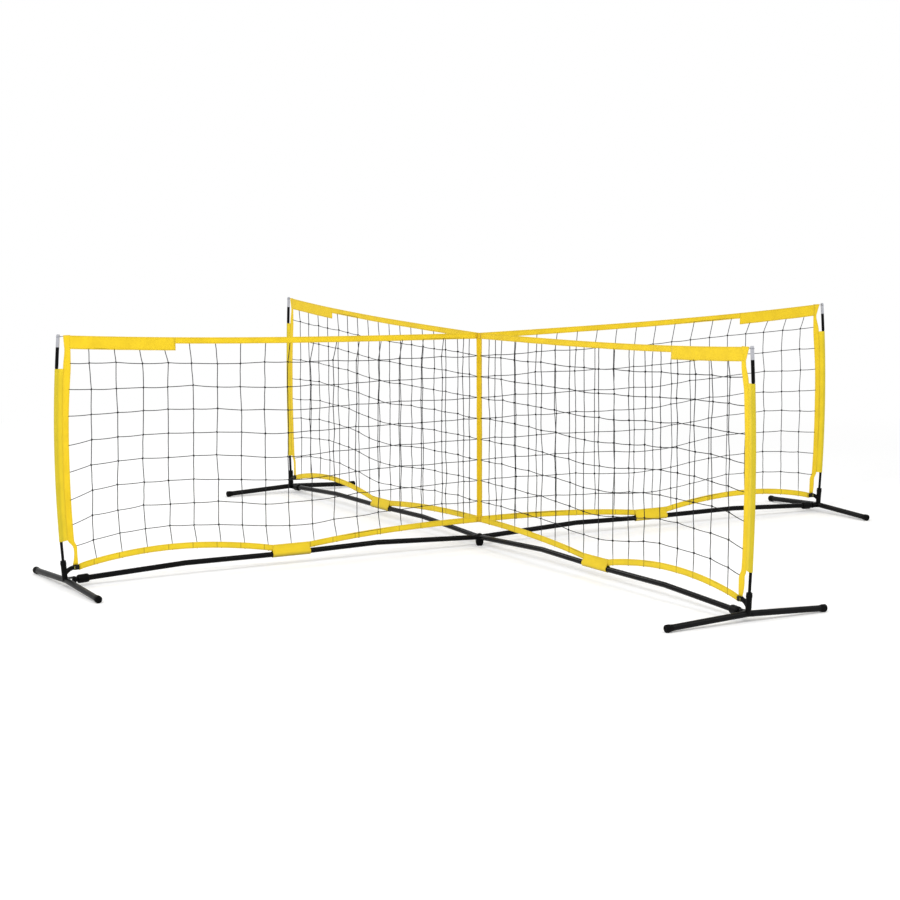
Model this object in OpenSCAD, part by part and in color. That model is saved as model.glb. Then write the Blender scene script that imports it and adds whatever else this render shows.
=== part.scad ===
// Four-way play net on bowed poles, with a tubular cross base and folding T feet.
// Millimetres, +Z up. The origin is on the ground at the centre of the cross.
// Every arm is drawn along +X in the XZ plane and turned into place about Z.

/* [Layout] */
// Distance from the centre of the cross to each foot bar
arm_reach = 1790; // [1600:10:1900]
// Height of the pole tips
tip_z = 945; // [900:5:980]

/* [Base tubes] */
// Outside diameter of the base tubes
tube_d = 20.9; // [19:0.1:22]
// Wall of the base tubes
tube_wall = 1.4; // [1:0.1:2]
// Height of the tube axis at the hub
hub_axis_z = 35; // [33:0.5:38]
// Height of the tube axis at the inner joint
inner_axis_z = 55; // [52:0.5:58]
// Height of the tube axis at the joint under the tab
tab_axis_z = 48; // [45:0.5:52]
// Height of the tube axis at the outer joint
outer_axis_z = 49.5; // [46:0.5:54]
// Length of the inner tube section
inner_tube_len = 480; // [420:10:540]
// Length of the outer tube section
outer_tube_len = 437; // [390:1:480]
// Length of the swaged spigot that joins two sections
spigot_len = 15; // [10:1:18]

/* [Hub] */
// Distance from the hub's centre to each tube
hub_arm_len = 26; // [22:1:40]
// Length of the plug that enters each tube
hub_plug_len = 40; // [25:1:60]
// Diameter of the hub's round middle
hub_ball_d = 33; // [28:1:38]
// Diameter of the rubber foot under the hub
hub_foot_d = 33; // [28:1:36]
// Diameter of the flat that the hub foot rests on
hub_foot_flat_d = 19; // [14:1:24]
// Height of the rubber foot up to the hub
hub_foot_h = 22; // [18:0.5:23]

/* [Knuckle] */
// Distance from the fold pin to the foot bar
pin_offset = 31; // [30:0.5:36]
// Diameter of the fold pin
pin_d = 6; // [5:0.5:8]
// Height of the middle of the knuckle
knuckle_z = 28.5; // [28:0.5:30]
// Diameter of the collar on the end of the base tube
collar_d = 33; // [29:0.5:34]
// Length of the collar
collar_len = 46; // [36:1:55]
// Thickness of the tongue that turns between the ears
tongue_t = 10.5; // [9:0.5:11]
// Thickness of each ear of the foot
ear_t = 5; // [4:0.5:6]
// Width of the ears and diameter of their rounded ends
ear_w = 19; // [15:0.5:20]

/* [Foot] */
// Diameter of the foot bar
bar_d = 22.4; // [20:0.1:24]
// Wall of the foot bar
bar_wall = 1.5; // [1:0.1:2.5]
// Length of the foot bar from cap to cap
bar_len = 686; // [560:1:760]
// Rise of the bar from its ends to the middle
bar_rise = 15.5; // [10:0.5:18]
// Diameter of the rubber end caps
cap_d = 27.5; // [26:0.5:30]
// Length of the end caps
cap_len = 27; // [22:1:45]
// Length of the moulding between the two halves of the bar
body_len = 34; // [32:1:60]
// Length of the plug that enters each half of the bar
plug_len = 32; // [20:1:50]
// Outside diameter of the pole socket
column_d = 21.4; // [18:0.2:22.4]
// Outside diameter of the ring at the socket's mouth
mouth_d = 23; // [21:0.5:26]
// Height of the socket's mouth
mouth_z = 103; // [98:1:112]
// Diameter of the hooked arm
hook_d = 17; // [14:0.5:19]
// Bend radius of the hooked arm
hook_r = 54; // [50:1:60]

/* [Pole] */
// Diameter of the pole
pole_d = 11; // [9:0.5:12]
// Sideways bow of the pole at its middle
pole_bow = 20; // [12:1:24]
// Diameter of the upper ferrule
ferrule_d = 13; // [12:0.5:16]
// Length of the ferrule below the bright tip
ferrule_len = 76; // [60:1:90]
// Length of the bright tip
tip_len = 47; // [35:1:60]
// Wall of the bright tip around the pole
tip_wall = 1.1; // [0.9:0.1:2]

/* [Net] */
// Size of a mesh cell
mesh_cell = 100; // [90:5:120]
// Diameter of the netting cord
cord_d = 2.4; // [1.8:0.1:3]
// Width of the edge tapes
tape_w = 24; // [20:1:30]
// Thickness of the edge tapes
tape_t = 2.4; // [1.8:0.1:3]
// Drop from the pole tip to the net's top corner
corner_drop = 4; // [2:1:20]
// Sag of the top edge from its corners to the centre
top_sag = 60; // [40:1:80]
// Height of the header band
header_h = 50; // [40:1:60]
// Length of the header band
header_len = 440; // [300:10:500]
// Height of the middle of the bottom tape at the corner
corner_z = 74; // [72:0.5:76]
// Rise of the bottom tape at the centre over the tab
inner_rise = 36; // [20:1:50]
// Rise of the bottom tape between the tab and the corner
outer_rise = 43; // [20:1:50]
// Width of the tape along the pole sleeve
side_tape_w = 25; // [20:1:30]

/* [Sleeve and tabs] */
// Height of the lower end of the pole sleeve
sleeve_low_z = 178; // [165:1:200]
// Distance from the pole to the sleeve's seam
seam_offset = 25; // [22:0.5:28]
// Thickness of the sleeve cloth
cloth_t = 1.2; // [0.8:0.1:1.8]
// Middle of the tab that holds the net down to the tube
tab_mid = 863; // [800:1:920]
// Length of the tab
tab_len = 163; // [120:1:200]
// Length of the corner strap
strap_len = 25; // [22:1:28]
// Height of the corner strap
strap_h = 18; // [16:0.5:20]
// Thickness of the corner strap from face to face
strap_w = 14; // [13:0.5:18]

/* [Hidden] */
$fn = 96;
ARMS = ["west", "south", "north", "east"];
TURNS = [180, 270, 90, 0];
SINGLES = ["hub", "hub_foot", "base_tubes_inner", "base_tubes_middle", "base_tubes_outer",
           "tube_tabs", "centre_tape"];
ARM_PARTS = ["end_fitting", "net", "top_band", "bottom_tape", "side_band",
             "foot_tee", "foot_bar", "foot_caps", "fold_pin",
             "pole", "pole_tip", "pole_sleeve", "corner_strap"];

fit = 0.05; // running and push fits, per side
seat = 0.3; // cloth and soft pieces stand this far off what they touch
fine_fn = 256; // long shallow bends need short steps
lap = 0.5; // parts of one piece run this far into each other

// Fold pin and the pieces around it.
pin_s = arm_reach - pin_offset;
pin_r = pin_d / 2;
ear_r = ear_w / 2;
ear_clear = 2;
collar_face_s = pin_s - ear_r - ear_clear;
tongue_inset = 1.5;
tongue_w = ear_w - 2 * tongue_inset;
ear_low_z = knuckle_z - tongue_t / 2 - seat - ear_t;
ear_high_z = knuckle_z + tongue_t / 2 + seat;
pin_head_t = 2;
pin_head_r = pin_r + pin_head_t;
pin_head_taper = 1;

// Base tube axis, as points [outward, height].
tube_r = tube_d / 2;
tube_bore_r = tube_r - tube_wall;
hub_point = [0, hub_axis_z];
bend_in = [inner_tube_len, inner_axis_z];
bend_tab = [tab_mid, tab_axis_z];
bend_out = [collar_face_s - outer_tube_len, outer_axis_z];
end_point = [collar_face_s, knuckle_z];
function span(a, b) = norm(b - a);
function rise(a, b) = atan2(b[1] - a[1], b[0] - a[0]);
function along(a, b, d) = a + (b - a) / span(a, b) * d;
function height_at(a, b, s) = a[1] + (b[1] - a[1]) * (s - a[0]) / (b[0] - a[0]);
function tube_z(s) = s < tab_mid ? height_at(bend_in, bend_tab, s) : height_at(bend_tab, bend_out, s);
function bend_angle(a, b, c) = abs(rise(b, c) - rise(a, b));
kink = max(bend_angle(hub_point, bend_in, bend_tab), bend_angle(bend_in, bend_tab, bend_out),
           bend_angle(bend_tab, bend_out, end_point));
spigot_r = tube_bore_r - (spigot_len + 1) * tan(kink) - 3 * fit;
joint_gap = tube_r * tan(kink) / 2 + 2 * fit;
collar_shoulder = 4;
collar_front = 9;
collar_rear = 8;
collar_rear_drop = 4;
hub_stem_r = 6;
hub_stem_h = 7;
hub_boss_inset = 1.5;
hub_boss_r = hub_foot_d / 2 - hub_boss_inset;

// Foot bar: two straight halves that rise to the middle.
bar_r = bar_d / 2;
half_bar = bar_len / 2;
bar_slope = atan(bar_rise / half_bar);
cap_r = cap_d / 2;
cap_flat = 0.5;
bar_end_z = cap_r * cos(bar_slope) - cap_flat;
bar_mid_z = bar_end_z + bar_rise;
half_body = body_len / 2;
cap_end_wall = 4;
cap_lip = 0.7;
cap_flare = 14;
cap_rim = 4;
cap_dish_r = 8;
cap_dish = 1.2;
cap_nub_r = 3;

// Pole: one circular bow from its butt in the socket to the tip.
pole_r = pole_d / 2;
butt_z = 45;
socket_offset = 5;
butt_s = arm_reach + socket_offset;
socket_clear = 0.2;
half_chord = (tip_z - butt_z) / 2;
bow_r = (half_chord * half_chord + pole_bow * pole_bow) / (2 * pole_bow);
bow_lean = asin(half_chord / bow_r);
bow_mid_z = butt_z + half_chord;
bow_mid_s = butt_s - bow_r * cos(bow_lean);
function bow_s(z) = bow_mid_s + sqrt(bow_r * bow_r - (z - bow_mid_z) * (z - bow_mid_z));
function bow_angle(z) = asin((z - bow_mid_z) / bow_r);
tip_base_z = tip_z - tip_len;
tip_d = pole_d + 2 * (fit + tip_wall);
tip_cap_h = 7;
tip_waist_h = 4;
tip_waist_d = tip_d - tip_wall;
tip_edge = 2;
tip_dome_inset = 1.5;
tip_dome_d = tip_d - 2 * tip_dome_inset;
ferrule_z = tip_base_z - ferrule_len;
ferrule_clear = 4;
sleeve_high_z = ferrule_z - ferrule_clear;
sleeve_in_r = pole_r + seat;
sleeve_out_r = sleeve_in_r + cloth_t;
column_lean = atan2(bow_s(mouth_z) - butt_s, mouth_z - butt_z);

// Hooked arm that carries the lower corner of the net.
hook_in = 26.2;
hook_drop = 0.7;
hook_end = [arm_reach - hook_in, corner_z - hook_drop];
hook_end_angle = 75;
hook_sweep = 40;
hook_mid = hook_end - hook_r * [cos(hook_end_angle), sin(hook_end_angle)];

// Net outline, as heights along the arm.
strap_s = hook_end[0] - strap_len;
strap_wall = 3;
hook_tongue_w = strap_w - 2 * strap_wall;
hook_tongue_h = strap_h - 2 * strap_wall;
slider_d = 4;
slider_h = 0.8;
slider_s = strap_s + strap_len - 7;
strap_end_s = hook_end[0] - hook_d / 2 * cos(hook_end_angle) - seat;
corner_inset = 5;
corner_s = bow_s(sleeve_high_z) - seam_offset - corner_inset;
top_end_z = tip_z - corner_drop;
top_mid_z = top_end_z - top_sag;
header_s = corner_s - header_len;
tab_start = tab_mid - tab_len / 2;
tab_end = tab_mid + tab_len / 2;
half_tape = tape_w / 2;
tab_clear = 3.5;
tab_tape_z = tab_axis_z + tube_r + tab_clear + half_tape;
tab_top = tab_tape_z + half_tape;
tab_heights = [tube_z(tab_start), tab_axis_z, tube_z(tab_end)];
tab_mid_z = (max(tab_heights) + min(tab_heights)) / 2;
tab_slack = (max(tab_heights) - min(tab_heights)) / 2;
inner_power = 2.4;
hump_skew = 1.07;
hump_power = 0.8;
centre_half = 13;
function top_z(s) = let (t = s / corner_s) top_mid_z + top_sag * (t + t * t * t) / 2;
function inner_tape_z(s) = tab_tape_z + inner_rise * (1 - pow(s / tab_start, inner_power));
function outer_tape_z(t) = tab_tape_z + (corner_z - tab_tape_z) * t
    + outer_rise * pow(sin(180 * pow(t, hump_skew)), hump_power);
function tape_z(s) = s < tab_start ? inner_tape_z(s)
    : s < tab_end ? tab_tape_z
    : outer_tape_z(min(1, (s - tab_end) / (strap_s - tab_end)));
function seam_s(z) = bow_s(z) - seam_offset - seat;
function band_s(z) = seam_s(min(max(z, sleeve_low_z), sleeve_high_z)) - side_tape_w;

// Mesh: columns stay one cell apart, rows share the height.
neck_clear = 10;
net_t = cord_d;
half_cord = cord_d / 2;
net_s0 = centre_half + seat;
net_s1 = band_s(sleeve_low_z) - neck_clear;
columns = floor((net_s1 - net_s0) / mesh_cell);
rows = floor((top_end_z - corner_z) / mesh_cell);
margin = (net_s1 - net_s0 - (columns - 1) * mesh_cell) / 2;
function net_top(s) = top_z(s) - (s > header_s ? header_h : tape_w) - seat;
function net_low(s) = tape_z(s) + half_tape + seat;
// Column 0 is the centre edge and column columns + 1 is the side edge, which leans with the tape.
function column_s(i, z) = i == 0 ? net_s0 + half_cord
    : i == columns + 1 ? side_edge_s(z) - seat - half_cord
    : net_s0 + margin + (i - 1) * mesh_cell;
// Row 0 is the top edge and row rows + 1 is the bottom edge. The rows between share the
// height from just under the top edge down to just under the middle of the bottom tape.
rows_high_in = 8;
rows_low_out = 10;
function row_z(j, s) = j == 0 ? net_top(s) - half_cord
    : j == rows + 1 ? net_low(s) + half_cord
    : let (high = top_z(s) - rows_high_in, low = tape_z(s) - rows_low_out)
      high - (high - low) * j / (rows + 1);
function knot(i, j) = let (s = column_s(i, top_end_z * (1 - j / (rows + 1)))) [s, row_z(j, s)];

// Inner edge of the side tape from the strap up to the header.
neck_drop = 30;
neck_z = sleeve_low_z - neck_drop;
neck_in_s = strap_s + 4;
foot_in_s = strap_s + 2;
neck_w = 22;
function blend_s(a, b, t) = a + (b - a) * (0.5 - 0.5 * cos(180 * t));
function side_edge_s(z) = z > sleeve_low_z ? band_s(z)
    : z > neck_z ? blend_s(neck_in_s, band_s(sleeve_low_z), (z - neck_z) / (sleeve_low_z - neck_z))
    : blend_s(foot_in_s, neck_in_s, max(0, (z - corner_z) / (neck_z - corner_z)));
function ramp(a, b, n) = [for (k = [0:n]) a + (b - a) * k / n];
function reversed(list) = [for (k = [len(list) - 1:-1:0]) list[k]];

// Heights at which the net and the side tape share a corner along their common edge.
side_low_z = corner_z + strap_h / 2 + seat;
side_heights = concat(ramp(side_low_z, neck_z - 1, 3), ramp(neck_z, sleeve_low_z, 8),
                      ramp(sleeve_low_z + 1, sleeve_high_z, 12));

module each_arm() {
    for (turn = TURNS) rotate([0, 0, turn]) children();
}

// A round bar between two points of the arm's plane.
module bar_between(a, b, r) {
    translate([a[0], 0, a[1]]) rotate([0, 90 - rise(a, b), 0]) cylinder(r = r, h = span(a, b));
}

// Turns a flat outline of [outward, height] points into an upright sheet.
module upright(t) {
    rotate([90, 0, 0]) translate([0, 0, -t / 2]) linear_extrude(t) children();
}

// Sweeps an outline along the pole's bow between two heights.
module along_bow(z0, z1) {
    translate([bow_mid_s, 0, bow_mid_z]) rotate([90, 0, 0])
        rotate_extrude(angle = bow_angle(z1) - bow_angle(z0), start = bow_angle(z0), $fn = fine_fn)
            translate([bow_r, 0]) children();
}

// One tube section from a to b, with a spigot that enters the section before it.
module tube_section(a, b, spigot) {
    start = along(a, b, spigot ? joint_gap : hub_arm_len + fit);
    end = along(b, a, joint_gap);
    difference() {
        union() {
            bar_between(start, end, tube_r);
            if (spigot) bar_between(along(a, b, -spigot_len), along(a, b, spigot_len), spigot_r);
        }
        bar_between(along(a, b, spigot ? spigot_len : 0), along(b, a, -1), tube_bore_r);
        if (spigot)
            bar_between(along(a, b, -spigot_len - 1), along(a, b, spigot_len + 1), spigot_r - tube_wall);
    }
}

module base_tubes_inner() {
    color("#1c1c1e") each_arm() tube_section(hub_point, bend_in, false);
}

// Two sections on each arm, joined under the tab.
module base_tubes_middle() {
    color("#1c1c1e") each_arm() {
        tube_section(bend_in, bend_tab, true);
        tube_section(bend_tab, bend_out, true);
    }
}

module base_tubes_outer() {
    color("#1c1c1e") each_arm()
        tube_section(bend_out, along(end_point, bend_out, collar_shoulder), true);
}

// Cross of four stubs as thick as the tubes, with a plug for each tube.
module hub() {
    color("#161618") difference() {
        union() {
            translate([0, 0, hub_axis_z]) sphere(d = hub_ball_d);
            each_arm() {
                bar_between(hub_point, along(hub_point, bend_in, hub_arm_len), tube_r);
                bar_between(hub_point, along(hub_point, bend_in, hub_arm_len + hub_plug_len),
                            tube_bore_r - fit);
            }
            translate([0, 0, hub_foot_h]) cylinder(r = hub_boss_r, h = hub_axis_z - hub_foot_h);
        }
        translate([0, 0, hub_foot_h - 1]) cylinder(r = hub_stem_r, h = hub_stem_h + 1);
        translate([0, 0, hub_foot_h - hub_ball_d]) cylinder(d = hub_ball_d, h = hub_ball_d);
    }
}

// Rubber foot: a rounded bowl on a flat, with a stem that presses into the hub.
module hub_foot() {
    flat_r = hub_foot_flat_d / 2;
    r = hub_foot_d / 2;
    bowl_h = hub_foot_h - 2;
    color("#101011") {
        rotate_extrude() polygon(concat(
            [[0, 0], [flat_r, 0]],
            [for (a = [10:10:90]) [flat_r + (r - flat_r) * sin(a), bowl_h * (1 - cos(a))]],
            [[r, hub_foot_h - 1], [r - 1, hub_foot_h], [0, hub_foot_h]]));
        translate([0, 0, hub_foot_h - 1]) cylinder(r = hub_stem_r - fit, h = hub_stem_h + 1 - seat);
    }
}

// Collar on the tube's end, drawn down to a flat tongue with an eye for the pin.
module end_fitting() {
    r = collar_d / 2;
    neck_r = tongue_w / 2 - lap;
    color("#18181a") difference() {
        union() {
            translate([collar_face_s, 0, knuckle_z]) rotate([0, 90 - rise(bend_out, end_point), 0])
                rotate_extrude() polygon(concat(
                    [[0, 0]],
                    [for (a = [0:15:90]) [r - (r - neck_r) * (1 - sin(a)), collar_front * (cos(a) - 1)]],
                    [for (a = [0:15:90]) [r - collar_rear_drop * (1 - cos(a)),
                                          collar_rear * (1 - sin(a)) - collar_len]],
                    [[0, -collar_len]]));
            translate([0, 0, knuckle_z - tongue_t / 2]) linear_extrude(tongue_t) {
                translate([pin_s, 0]) circle(d = tongue_w);
                translate([collar_face_s - collar_front, -tongue_w / 2])
                    square([pin_s - collar_face_s + collar_front, tongue_w]);
            }
        }
        bar_between(along(end_point, bend_out, collar_shoulder - seat),
                    along(end_point, bend_out, collar_len + 1), tube_r + fit);
        translate([pin_s, 0, knuckle_z - tongue_t]) cylinder(r = pin_r + fit, h = 2 * tongue_t);
    }
}

// The pin with its two formed heads.
module fold_pin() {
    low = ear_low_z - pin_head_t;
    color("#8d8f93") translate([pin_s, 0, low]) {
        cylinder(r = pin_r, h = ear_high_z + ear_t + pin_head_t - low);
        cylinder(r1 = pin_head_r - pin_head_taper, r2 = pin_head_r, h = pin_head_t);
        translate([0, 0, ear_high_z + ear_t - low])
            cylinder(r1 = pin_head_r, r2 = pin_head_r - pin_head_taper, h = pin_head_t);
    }
}

// Both halves of the bar, from the middle out to y, cut square where they meet.
module kinked_bar(r, y) {
    for (side = [-1, 1]) intersection() {
        translate([arm_reach, 0, bar_mid_z]) rotate([side * (-90 - bar_slope), 0, 0])
            translate([0, 0, -r]) cylinder(r = r, h = y / cos(bar_slope) + r);
        translate([arm_reach - 2 * r, side > 0 ? 0 : -2 * y, 0]) cube([4 * r, 2 * y, 4 * bar_mid_z]);
    }
}

// Flat ear that reaches from the body to the pin, with filleted roots.
module ear_outline() {
    root = bar_r - 1;
    fillet = 5;
    difference() {
        union() {
            translate([pin_s, 0]) circle(d = ear_w);
            translate([pin_s, -ear_r]) square([pin_offset, ear_w]);
            translate([arm_reach - root - fillet, -ear_r - fillet])
                square([root + fillet, ear_w + 2 * fillet]);
        }
        for (side = [-1, 1]) translate([arm_reach - root - fillet, side * (ear_r + fillet)])
            circle(r = fillet);
        translate([pin_s, 0]) circle(r = pin_r + fit / 2);
    }
}

// The moulding that joins the bar, the pole, the net's corner and the knuckle.
module foot_tee() {
    lean = [0, column_lean, 0];
    mouth = (mouth_z - butt_z) / cos(column_lean);
    root = (butt_z - bar_mid_z) / cos(column_lean);
    ring_h = 18;
    ring_cone = 7;
    color("#19191b") difference() {
        union() {
            kinked_bar(bar_r, half_body);
            kinked_bar(bar_r - bar_wall - fit, half_body + plug_len);
            translate([butt_s, 0, butt_z]) rotate(lean) {
                translate([0, 0, -root]) cylinder(d = column_d, h = mouth + root);
                translate([0, 0, mouth - ring_h]) rotate_extrude() polygon([
                    [0, 0], [column_d / 2, 0], [mouth_d / 2, 4], [mouth_d / 2, ring_h - ring_cone],
                    [pole_r + 2, ring_h], [0, ring_h]]);
            }
            translate([hook_mid[0], 0, hook_mid[1]]) rotate([90, 0, 0])
                rotate_extrude(angle = hook_sweep, start = hook_end_angle - hook_sweep)
                    translate([hook_r, 0]) circle(d = hook_d);
            translate([hook_end[0] - strap_len + 3, -hook_tongue_w / 2, corner_z - hook_tongue_h / 2])
                cube([strap_len + 2, hook_tongue_w, hook_tongue_h]);
            for (z = [ear_low_z, ear_high_z]) translate([0, 0, z]) linear_extrude(ear_t) ear_outline();
        }
        translate([butt_s, 0, butt_z]) rotate(lean) cylinder(r = pole_r + socket_clear, h = mouth + 1);
    }
}

// Two tubes that push onto the moulding's plugs and butt against its body.
module foot_bar() {
    tube_y = half_bar - cap_end_wall;
    color("#2b2b2d") difference() {
        kinked_bar(bar_r, tube_y);
        kinked_bar(bar_r + 1, half_body + fit);
        kinked_bar(bar_r - bar_wall, tube_y + 1);
    }
}

// Rubber caps: flared from a thin lip, dished at the end and flattened where they stand.
module foot_caps() {
    lip_r = bar_r + cap_lip;
    inside = cap_len - cap_end_wall + fit;
    color("#111112") for (side = [-1, 1]) difference() {
        translate([arm_reach, 0, bar_mid_z]) rotate([side * (-90 - bar_slope), 0, 0])
            translate([0, 0, half_bar / cos(bar_slope) - cap_len]) rotate_extrude() polygon(concat(
                [[bar_r + fit, 0]],
                [for (t = ramp(0, 1, 6)) [blend_s(lip_r, cap_r, t), cap_flare * t]],
                [for (a = [0:15:90]) [cap_r - cap_rim * (1 - cos(a)), cap_len - cap_rim * (1 - sin(a))]],
                [[cap_dish_r, cap_len], [cap_dish_r - cap_dish, cap_len - cap_dish],
                 [cap_nub_r, cap_len - cap_dish], [cap_nub_r - 1, cap_len - 2 * cap_dish],
                 [0, cap_len - 2 * cap_dish], [0, inside], [bar_r + fit, inside]]));
        translate([arm_reach - cap_d, -bar_len, -cap_d]) cube([2 * cap_d, 2 * bar_len, cap_d]);
    }
}

module pole() {
    color("#17171a") {
        along_bow(butt_z + 1, tip_z - tip_cap_h - 1) circle(d = pole_d);
        along_bow(ferrule_z, tip_base_z) circle(d = ferrule_d);
    }
}

// Bright tip: a tube over the rod, a waisted neck for the loop and a domed cap.
module pole_tip() {
    cap_low = tip_z - tip_cap_h;
    waist_low = cap_low - tip_waist_h;
    color("#c9ccd0") {
        along_bow(tip_base_z, waist_low) difference() {
            circle(d = tip_d);
            circle(r = pole_r + fit);
        }
        along_bow(waist_low - lap, cap_low + lap) difference() {
            circle(d = tip_waist_d);
            circle(r = pole_r + fit);
        }
        along_bow(cap_low, tip_z - tip_edge) circle(d = tip_d);
        along_bow(tip_z - tip_edge - lap, tip_z) circle(d = tip_dome_d);
    }
}

// Cross-section of the pocket: round over the pole, flat at the seam.
module pocket(r, seam, flat) {
    circle(r = r);
    polygon([[0, r], [-seam, flat], [-seam, -flat], [0, -r]]);
}

module pole_sleeve() {
    color("#eecb2c") along_bow(sleeve_low_z, sleeve_high_z) difference() {
        pocket(sleeve_out_r, seam_offset, cloth_t + seat);
        pocket(sleeve_in_r, seam_offset - cloth_t, seat);
    }
}

// Strap around the hook's tongue with a small slider on each face.
module corner_strap() {
    color("#0f0f10") {
        difference() {
            intersection() {
                translate([strap_s, -strap_w / 2, corner_z - strap_h / 2])
                    cube([strap_end_s - strap_s, strap_w, strap_h]);
                translate([pin_s, 0, 0]) cylinder(r = pin_s - strap_s, h = corner_z + strap_h);
            }
            translate([strap_s - 1, -hook_tongue_w / 2 - seat, corner_z - hook_tongue_h / 2 - seat])
                cube([strap_len + 2, hook_tongue_w + 2 * seat, hook_tongue_h + 2 * seat]);
        }
        for (side = [-1, 1]) translate([slider_s, side * strap_w / 2, corner_z])
            rotate([90, 0, 0]) cylinder(d = slider_d, h = 2 * slider_h, center = true);
    }
}

// Square mesh inside its edge cord, with a step where the header band begins.
function header_step(i, j) = j == 0 && column_s(i, 0) < header_s && column_s(i + 1, 0) > header_s
    ? [[header_s - cord_d, net_top(header_s - cord_d) - cord_d],
       [header_s - cord_d, net_top(header_s + 1) - cord_d]] : [];
function gap_outline(i, j) = let (h = half_cord, p = knot(i, j), q = knot(i + 1, j),
        r = knot(i + 1, j + 1), t = knot(i, j + 1))
    concat([[p[0] + h, p[1] - h]], header_step(i, j),
           [[q[0] - h, q[1] - h], [r[0] - h, r[1] + h], [t[0] + h, t[1] + h]]);

module net() {
    top_steps = concat(ramp(net_s0, header_s - seat, 24), ramp(header_s - seat + 0.01, net_s1, 8));
    low_s = foot_in_s - seat;
    low_steps = concat(ramp(low_s, tab_end, 22), [(tab_end + tab_start) / 2], ramp(tab_start, net_s0, 20));
    side_high = row_z(0, net_s1);
    side_low = net_low(low_s);
    between = [for (z = reversed(side_heights)) if (z < side_high - 1 && z > side_low + 1) z];
    side_steps = concat([side_high], between);
    outline = concat(
        [for (s = top_steps) [s, s < header_s - seat + 0.005 ? net_top(s) : top_z(s) - header_h - seat]],
        [for (z = side_steps) [side_edge_s(z) - seat, z]],
        [for (s = low_steps) [s, net_low(s)]]);
    color("#26262a") upright(net_t) difference() {
        polygon(outline);
        for (i = [0:columns]) for (j = [0:rows]) polygon(gap_outline(i, j));
    }
}

module top_band() {
    end_s = band_s(sleeve_high_z) - seat;
    steps = ramp(net_s0, end_s, 28);
    low = ramp(end_s, header_s, 8);
    inner = ramp(header_s, net_s0, 24);
    color("#f0cd2b") upright(tape_t) polygon(concat(
        [for (s = steps) [s, top_z(s)]],
        [for (s = low) [s, top_z(s) - header_h]],
        [for (s = inner) [s, top_z(s) - tape_w]]));
}

module bottom_tape() {
    color("#ecc72a") upright(tape_t) {
        tape_run(ramp(net_s0, tab_start - seat, 14));
        tape_run(ramp(tab_end + seat, strap_s - seat, 20));
    }
}

module tape_run(steps) {
    polygon(concat([for (s = steps) [s, tape_z(s) + half_tape]],
                   [for (s = reversed(steps)) [s, tape_z(s) - half_tape]]));
}

// Tape along the sleeve, curved in below it to the strap and above it to the header's corner.
module side_band() {
    curve = ramp(0, 1, 6);
    neck_out_s = neck_in_s + neck_w;
    header_low = top_z(corner_s) - header_h;
    shoulder_s = corner_s - 8;
    shoulder_h = 14;
    inner_s = band_s(sleeve_high_z);
    color("#edc92b") upright(tape_t) polygon(concat(
        [[foot_in_s + neck_w - 1, side_low_z], [neck_out_s, (neck_z + side_low_z) / 2 + shoulder_h]],
        [for (t = curve) [blend_s(neck_out_s, seam_s(sleeve_low_z), t),
                          neck_z + (sleeve_low_z - neck_z) * t]],
        [for (z = ramp(sleeve_low_z, sleeve_high_z, 16)) [seam_s(z), z]],
        [for (t = curve) [blend_s(seam_s(sleeve_high_z), shoulder_s, t),
                          sleeve_high_z + (header_low - sleeve_high_z) * t]],
        [[corner_s, header_low + shoulder_h], [corner_s, top_z(corner_s)], [inner_s, top_z(inner_s)]],
        [for (z = reversed(side_heights)) [side_edge_s(z), z]]));
}

// Cloth tabs that wrap the base tubes over their joint and clamp the bottom tape.
module tube_tabs() {
    in_r = tube_r + tab_slack + seat;
    out_r = in_r + cloth_t;
    flange = cloth_t + 2 * fit;
    flange_rise = 9;
    flange_low = out_r + flange_rise;
    flange_high = tab_top - tab_mid_z;
    color("#f0cb28") each_arm() translate([tab_start, 0, tab_mid_z]) rotate([90, 0, 90])
        linear_extrude(tab_len) difference() {
            union() {
                circle(r = out_r);
                polygon([[-out_r, 0], [-flange, flange_low], [-flange, flange_high],
                         [flange, flange_high], [flange, flange_low], [out_r, 0]]);
            }
            circle(r = in_r);
        }
}

// Four-winged tape at the centre, one wing for each panel.
module centre_tape() {
    low = tape_z(0) - half_tape;
    color("#ecc82a") translate([0, 0, low]) for (turn = [0, 90]) rotate([0, 0, turn])
        translate([-centre_half, -tape_t / 2, 0]) cube([2 * centre_half, tape_t, top_z(0) - low]);
}

module arm_part(name) {
    if (name == "end_fitting") end_fitting();
    if (name == "net") net();
    if (name == "top_band") top_band();
    if (name == "bottom_tape") bottom_tape();
    if (name == "side_band") side_band();
    if (name == "foot_tee") foot_tee();
    if (name == "foot_bar") foot_bar();
    if (name == "foot_caps") foot_caps();
    if (name == "fold_pin") fold_pin();
    if (name == "pole") pole();
    if (name == "pole_tip") pole_tip();
    if (name == "pole_sleeve") pole_sleeve();
    if (name == "corner_strap") corner_strap();
}

hub();
hub_foot();
base_tubes_inner();
base_tubes_middle();
base_tubes_outer();
tube_tabs();
centre_tape();
for (k = [0:3]) for (p = ARM_PARTS)
    rotate([0, 0, TURNS[k]]) arm_part(p);
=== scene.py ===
import math
import random

import bpy
from mathutils import Matrix, Vector, noise


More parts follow.
